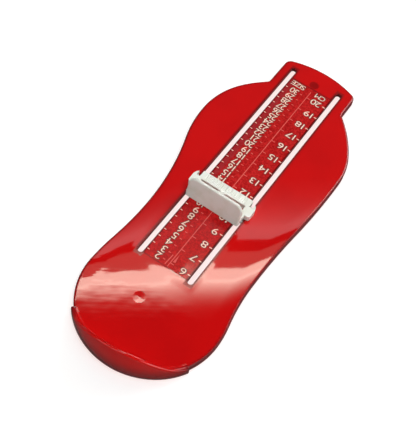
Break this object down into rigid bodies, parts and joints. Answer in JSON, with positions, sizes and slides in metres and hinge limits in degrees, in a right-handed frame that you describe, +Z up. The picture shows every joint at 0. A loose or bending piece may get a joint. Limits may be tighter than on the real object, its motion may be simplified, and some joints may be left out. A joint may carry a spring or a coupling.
{
  "type": "foot measuring device",
  "caption": "Sole-shaped foot gauge with a heel cup, a printed centimetre scale between two slots, and a toe plate that slides along them.",
  "frame": {"origin": "the scale's zero at the back of the heel cup, midway between the slots, on the surface that the board rests on", "axes": "+Y from heel to toe along the slots, so Y is the foot length; +Z up; +X to the right seen from the heel"},
  "size_m": [0.0896, 0.2269, 0.024],
  "materials": {
    "board_plastic": "glossy moulded ABS, red",
    "scale_film": "printed plastic film, dark red with pale numerals",
    "slider_plastic": "semi-gloss moulded plastic, off-white"
  },
  "bodies": {
    "board": {"foot_board": "board_plastic", "scale_strip": "scale_film"},
    "slider": {"toe_slider": "slider_plastic", "slider_keeper": "slider_plastic"}
  },
  "joints": [
    {"name": "toe_slide", "type": "slide", "parent": "board", "child": "slider", "axis": [0, 1, 0], "range_m": [-0.0388, 0.1012]}
  ]
}
